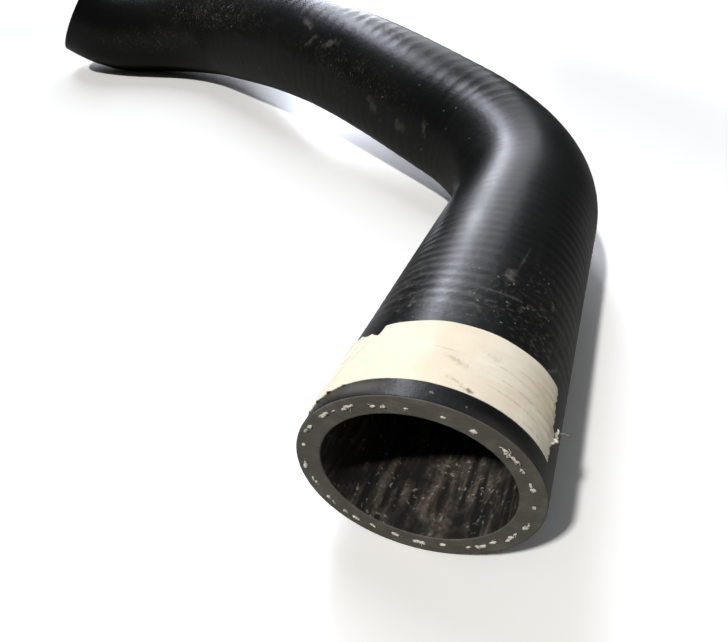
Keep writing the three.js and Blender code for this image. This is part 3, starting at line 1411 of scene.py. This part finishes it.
    def thread(self, loose: LooseThread) -> bpy.types.Object:
        """Makes one pulled thread as a thin tube through its places.

        Args:
            loose: The thread's places and thickness.

        Returns:
            The thread.
        """
        places = [self.place(*place) for place in loose.places]
        deselect_all()
        bpy.ops.mesh.primitive_cylinder_add(
            vertices=self.thread_sides, radius=1, depth=1, location=(0, 0, 0.5), end_fill_type="NGON"
        )
        piece = bpy.context.active_object
        bpy.ops.object.transform_apply(location=True, rotation=True, scale=True)
        with editing(piece):
            select_edges(piece, lambda a, b: abs(a.z - b.z) > 0.5)
            bpy.ops.mesh.subdivide(number_cuts=31)
        flat = vertex_places(piece)
        stations = np.linspace(0, 1, len(places))
        line = np.column_stack([
            np.interp(flat[:, 2], stations, [place[axis] for place in places]) for axis in range(3)
        ])
        ends = np.clip(1 - np.abs(2 * flat[:, 2] - 1) ** 6, 0.25, 1)
        thickness = loose.thickness * MM * ends * (1 + 0.3 * np.sin(flat[:, 2] * 41))
        heading = (places[-1] - places[0]).normalized()
        side = heading.orthogonal().normalized()
        other = heading.cross(side)
        wobble = 0.5 * loose.thickness * MM * np.sin(flat[:, 2] * 23)
        offset = flat[:, :1] * np.array(side) + flat[:, 1:2] * np.array(other)
        move_vertices(piece, line + offset * thickness[:, None] + wobble[:, None] * np.array(side))
        return piece

    def build(self, material: bpy.types.Material) -> bpy.types.Object:
        """Makes all the yarn ends and threads as one piece.

        Args:
            material: The yarn's material.

        Returns:
            The finished piece.
        """
        draw = random.Random(self.seed)
        pieces = [piece for end in self.ends for piece in self.tuft(end, draw)]
        pieces += [self.thread(loose) for loose in self.threads]
        deselect_all()
        for piece in pieces:
            piece.select_set(True)
        bpy.context.view_layer.objects.active = pieces[0]
        bpy.ops.object.join()
        joined = bpy.context.active_object
        bpy.ops.object.transform_apply(location=True, rotation=True, scale=True)
        joined.name = "yarn_ends"
        self.dress(joined, material)
        ride_and_slot(joined)
        return joined

    def dress(self, piece: bpy.types.Object, material: bpy.types.Material) -> None:
        """Gives the yarn its material and shades it smooth."""
        piece.data.materials.append(material)
        bpy.ops.object.shade_smooth()


@dataclass
class TapeBand:
    """Strip of paper tape round the near end, laid parallel to the cut, torn at its right end.

    Attributes:
        section: The tube's section.
        route: The centre line.
        setback: Distance from the cut face to the tape.
        width: Width of the tape.
        thickness: Thickness of the paper.
        clearance: Gap between the rubber and the paper, where it lies flat.
        tucked_angle: Where its hidden end is stuck down, from the top towards the right.
        torn_near_angle: Where its torn end meets its near edge.
        torn_far_angle: Where its torn end meets its far edge.
        columns: Divisions round the tube.
        rows: Divisions across the tape.
        creases: Creases round the tube near the torn end: the setback of each in millimetres, its slant in
            millimetres per degree and its height in millimetres.
        crease_width: Half-width of those creases, in millimetres.
        far_edge: The far edge's own line: angles in degrees, and how far it stands out there in millimetres.
    """

    section: TubeSection
    route: HoseRoute
    setback: float = 3.7 * MM
    width: float = 14.5 * MM
    thickness: float = 0.16 * MM
    clearance: float = 0.05 * MM
    tucked_angle: float = math.radians(-130)
    torn_near_angle: float = math.radians(58)
    torn_far_angle: float = math.radians(55)
    columns: int = 360
    rows: int = 44
    creases: tuple[tuple[float, float, float], ...] = (
        (6.6, 0.015, 0.16), (8.5, 0.02, 0.22), (11.0, 0.03, 0.26), (13.2, 0.025, 0.20), (15.3, 0.02, 0.16)
    )
    crease_width: float = 0.50
    far_edge: tuple[tuple[float, ...], tuple[float, ...]] = (
        (-130, -100, -84, -70, -56, -45, -41, -38.5),
        (0.0, 0.6, 2.2, 2.2, 0.0, -1.3, -2.2, 0.0),
    )

    def relief(self, along_mm: Points, angle_deg: Points) -> Points:
        """Finds how far the paper stands off the rubber.

        Args:
            along_mm: Distance from the cut, in millimetres.
            angle_deg: Angle from the top towards the right, in degrees.

        Returns:
            Height of the paper's creases, in metres.
        """
        gathered = smooth_between(angle_deg, -5, 25) * smooth_between(60 - angle_deg, 0, 8)
        creases = np.zeros_like(along_mm)
        for place, slope, height in self.creases:
            line = place + slope * (angle_deg - 25) + 0.25 * np.sin(angle_deg / 6 + place)
            creases += height * np.exp(-(((along_mm - line) / self.crease_width) ** 2))
        crumpled = smooth_between(-38 - angle_deg, 0, 8)
        slanting = 0.26 * np.maximum(0, np.sin(along_mm * 1.34 - angle_deg * 0.64)) ** 3
        slanting += 0.10 * np.maximum(0, np.sin(along_mm * 2.3 - angle_deg * 0.9 + 1.0)) ** 4
        lifted = 0.5 + 0.5 * np.sin(angle_deg / 5) * np.sin(angle_deg / 17)
        edge = 0.14 * smooth_between(along_mm, 16.8, 18.5) * lifted
        slack = 0.05 * (1 + np.sin(along_mm * 0.9 + angle_deg * 0.08) * np.sin(angle_deg * 0.16 + 1))
        return (creases * gathered + slanting * crumpled + edge + slack) * MM

    def outline(self, up_the_tape: Points, round_it: Points) -> tuple[Points, Points]:
        """Finds where the flat strip's points lie on the tube, with its torn end and uneven far edge.

        Args:
            up_the_tape: Share of the tape's width, from its near edge.
            round_it: Share of its length, from its tucked end.

        Returns:
            The angles from the top towards the right, in radians, and the setbacks from the cut.
        """
        ragged = 0.5 * np.sin(up_the_tape * 23) + 0.5 * np.sin(up_the_tape * 61 + 1)
        ragged += 0.4 * np.sin(up_the_tape * 127 + 2)
        ragged += (3.4 + ragged) * np.exp(-(((up_the_tape - 0.36) / 0.16) ** 2))
        torn = self.torn_near_angle + (self.torn_far_angle - self.torn_near_angle) * up_the_tape
        torn = torn + np.radians(ragged) * smooth_between(round_it, 0.9, 1.0)
        angle = self.tucked_angle + (torn - self.tucked_angle) * round_it
        edge = np.interp(np.degrees(angle), *self.far_edge) * MM
        setback = self.setback + self.width * up_the_tape + edge * smooth_between(up_the_tape, 0.55, 1.0)
        return angle, setback

    def strip(self) -> bpy.types.Object:
        """Makes the strip of paper round the straight tube.

        Returns:
            The strip, with its thickness.
        """
        deselect_all()
        bpy.ops.mesh.primitive_grid_add(x_subdivisions=self.rows, y_subdivisions=self.columns, size=1)
        piece = bpy.context.active_object
        piece.name = "paper_tape_band"
        flat = vertex_places(piece)
        angle, setback = self.outline(flat[:, 0] + 0.5, flat[:, 1] + 0.5)
        radius = self.section.outer_radius + self.clearance + self.relief(setback / MM, np.degrees(angle))
        right = radius * np.sin(angle)
        slanted = setback + right * math.tan(self.route.trim_skew)
        move_vertices(piece, np.column_stack([slanted, -right, radius * np.cos(angle)]))
        paper = piece.modifiers.new("paper", "SOLIDIFY")
        paper.thickness = self.thickness
        paper.offset = 1.0
        apply_modifiers(piece)
        with editing(piece, "FACE"):
            bpy.ops.mesh.select_all(action="SELECT")
            bpy.ops.mesh.normals_make_consistent(inside=False)
        return piece

    def dress(self, piece: bpy.types.Object, material: bpy.types.Material) -> None:
        """Gives the straight strip its material and the places that the material reads."""
        note_straight_places(piece)
        piece.data.materials.append(material)

    def build(
        self, bender: RouteCurve, curve: bpy.types.Object, material: bpy.types.Material
    ) -> bpy.types.Object:
        """Makes the tape.

        Args:
            bender: What bends a straight piece along the route.
            curve: The route's curve object.
            material: The tape's material.

        Returns:
            The finished piece.
        """
        piece = self.strip()
        self.dress(piece, material)
        bender.bend(piece, curve)
        smooth_faces(piece)
        ride_and_slot(piece)
        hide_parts("tape_band")
        return piece


# Stage, lights and camera


@dataclass
class Bench:
    """The plain pale top that the hose lies on.

    Attributes:
        size: Length of its sides.
        finish: Its finish.
    """

    size: float = 8.0
    finish: BenchFinish = field(default_factory=BenchFinish)

    def build(self) -> bpy.types.Object:
        """Makes the bench top.

        Returns:
            The bench top.
        """
        deselect_all()
        bpy.ops.mesh.primitive_plane_add(size=self.size, location=(0, 0, 0))
        piece = bpy.context.active_object
        piece.name = "bench_top"
        self.dress(piece)
        return piece

    def dress(self, piece: bpy.types.Object) -> None:
        """Gives the bench top its material."""
        piece.data.materials.append(self.finish.build())


def direction(azimuth: float, elevation: float) -> Vector:
    """Returns the unit vector towards an azimuth left of +Y and an elevation, both in degrees."""
    turn, rise = math.radians(azimuth), math.radians(elevation)
    return Vector((-math.sin(turn) * math.cos(rise), math.cos(turn) * math.cos(rise), math.sin(rise)))


@dataclass(frozen=True)
class Panel:
    """A rectangular lamp, given by the directions of its lower and upper end.

    Attributes:
        name: Its name.
        low: Azimuth left of +Y and elevation of the lower end, in degrees.
        high: The same of the upper end.
        width: Width across that line.
        distance: Distance from the hose.
        radiance: Brightness of its face.
        tint: Its colour.
        glossy: Whether it shows in reflections.
    """

    name: str
    low: tuple[float, float]
    high: tuple[float, float]
    width: float
    distance: float
    radiance: float
    tint: tuple[float, float, float]
    glossy: bool = True

    def build(self) -> bpy.types.Object:
        """Makes the lamp, facing the hose.

        Returns:
            The lamp.
        """
        bottom, top = direction(*self.low) * self.distance, direction(*self.high) * self.distance
        data = bpy.data.lights.new(self.name, "AREA")
        data.shape = "RECTANGLE"
        data.size = self.width
        data.size_y = (top - bottom).length
        data.energy = self.radiance * math.pi * data.size * data.size_y
        data.color = self.tint
        lamp = bpy.data.objects.new(self.name, data)
        lamp.visible_glossy = self.glossy
        bpy.context.scene.collection.objects.link(lamp)
        middle = (bottom + top) / 2
        back = middle.normalized()
        upward = (top - bottom).normalized()
        side = upward.cross(back).normalized()
        upward = back.cross(side)
        turn = Matrix((side, upward, back)).transposed().to_4x4()
        lamp.matrix_world = Matrix.Translation(middle) @ turn
        return lamp


@dataclass(frozen=True)
class Studio:
    """Lamps and surroundings.

    Attributes:
        room: Brightness of the room in reflections and on the hose.
        panels: The window, the walls, the ceiling and its lamp.
    """

    room: float = 0.04
    panels: tuple[Panel, ...] = (
        Panel("window", (16, 11), (31, 38), 0.13, 2.5, 17.0, (0.84, 0.88, 1.0)),
        Panel("window_top", (31, 38), (66, 66), 0.42, 2.5, 11.0, (0.84, 0.88, 1.0)),
        Panel("window_foot", (13, 8), (15, 20), 0.30, 2.5, 6.0, (0.84, 0.88, 1.0)),
        Panel("ceiling", (-6, 36), (-6, 75), 2.2, 3.2, 0.22, (0.92, 0.95, 1.0)),
        Panel("back_wall", (12, 6), (12, 42), 1.6, 3.2, 1.5, (0.90, 0.93, 1.0)),
        Panel("back_wall_right", (-25, 6), (-25, 34), 1.8, 3.2, 0.4, (0.90, 0.93, 1.0), glossy=False),
        Panel("right_wall", (-88, 4), (-88, 45), 3.0, 3.2, 0.20, (1.0, 1.0, 1.0)),
        Panel("ceiling_lamp", (146, 51.0), (146, 54.0), 0.20, 4.0, 950.0, (1.0, 0.98, 0.95), glossy=False),
        Panel("lamp_shade", (140, 42), (140, 76), 1.6, 3.2, 0.5, (1.0, 0.98, 0.95), glossy=False),
    )

    def build(self) -> None:
        """Makes the lamps and a world that is white to the camera and dim to the object."""
        for panel in self.panels:
            panel.build()
        world = bpy.data.worlds.new("room")
        bpy.context.scene.world = world
        world.use_nodes = True
        tree = Tree(world.node_tree)
        seen = tree.add("ShaderNodeLightPath").outputs["Is Camera Ray"]
        strength = tree.math("ADD", tree.math("MULTIPLY", seen, 1.0 - self.room), self.room)
        background = world.node_tree.nodes["Background"]
        background.inputs["Color"].default_value = colour(1.0, 1.0, 1.0)
        tree.feed(background.inputs["Strength"], strength)


@dataclass(frozen=True)
class PhotoCamera:
    """Camera at the photograph's place, close in front of the near end and looking down on it.

    Attributes:
        offset: Place relative to the near end's centre on the bench.
        pan: Turn to the left of +Y, in degrees.
        tilt: Look down, in degrees.
        roll: Turn about the line of sight, in degrees.
        focal: Focal length in pixels of the photograph.
        sensor: Width of the sensor in millimetres.
        nearest: Distance in front of the camera from which it sees.
    """

    offset: tuple[float, float, float] = (0.95 * MM, -48.62 * MM, 97.75 * MM)
    pan: float = 13.77
    tilt: float = 41.30
    roll: float = 5.08
    focal: float = 520.0
    sensor: float = 36.0
    nearest: float = 5 * MM

    def build(self, near_end: Vector) -> bpy.types.Object:
        """Makes the camera and makes it the scene's own.

        Args:
            near_end: The near end's centre on the bench.

        Returns:
            The camera.
        """
        data = bpy.data.cameras.new("photo_camera")
        data.sensor_width = self.sensor
        data.lens = self.sensor * self.focal / PHOTO_WIDTH
        data.clip_start = self.nearest
        camera = bpy.data.objects.new("photo_camera", data)
        bpy.context.scene.collection.objects.link(camera)
        forward = direction(self.pan, -self.tilt)
        level = forward.cross(Vector((0, 0, 1))).normalized()
        upward = level.cross(forward)
        turn = math.radians(self.roll)
        right = level * math.cos(turn) + upward * math.sin(turn)
        turned = Matrix((right, right.cross(forward), -forward)).transposed().to_4x4()
        camera.matrix_world = Matrix.Translation(near_end + Vector(self.offset)) @ turned
        bpy.context.scene.camera = camera
        return camera


def report(piece: bpy.types.Object) -> None:
    """Logs a finished piece's name and triangle count."""
    triangles = sum(len(face.vertices) - 2 for face in piece.data.polygons)
    LOG.info("%s: %d triangles", piece.name, triangles)


def main() -> None:
    """Builds the camera, the stage and the hose's pieces in order."""
    logging.basicConfig(level=logging.INFO, format="%(name)s %(message)s")
    bpy.context.scene.view_settings.view_transform = "Standard"
    section = TubeSection()
    mount = next(m for m in frame["record"]["mounts"] if m["name"] == "near_end")
    near_end = Vector((mount["pos_m"][0], mount["pos_m"][1], 0))
    PhotoCamera().build(near_end)
    Studio().build()
    Bench().build()
    route = HoseRoute(start=(near_end.x, near_end.y), height=section.outer_radius)
    bender = RouteCurve(route)
    curve = bender.build()
    effects = Effects()
    skins = [RubberFinish().build(effects), CutWallFinish().build(), BoreFinish().build(effects)]
    report(HoseBody(section, route).build(bender, curve, skins))
    report(TapeBand(section, route).build(bender, curve, TapeFinish().build(effects)))
    report(YarnEnds(section, route).build(YarnFinish().build()))
    bpy.data.objects.remove(curve)


if __name__ == "__main__":
    main()
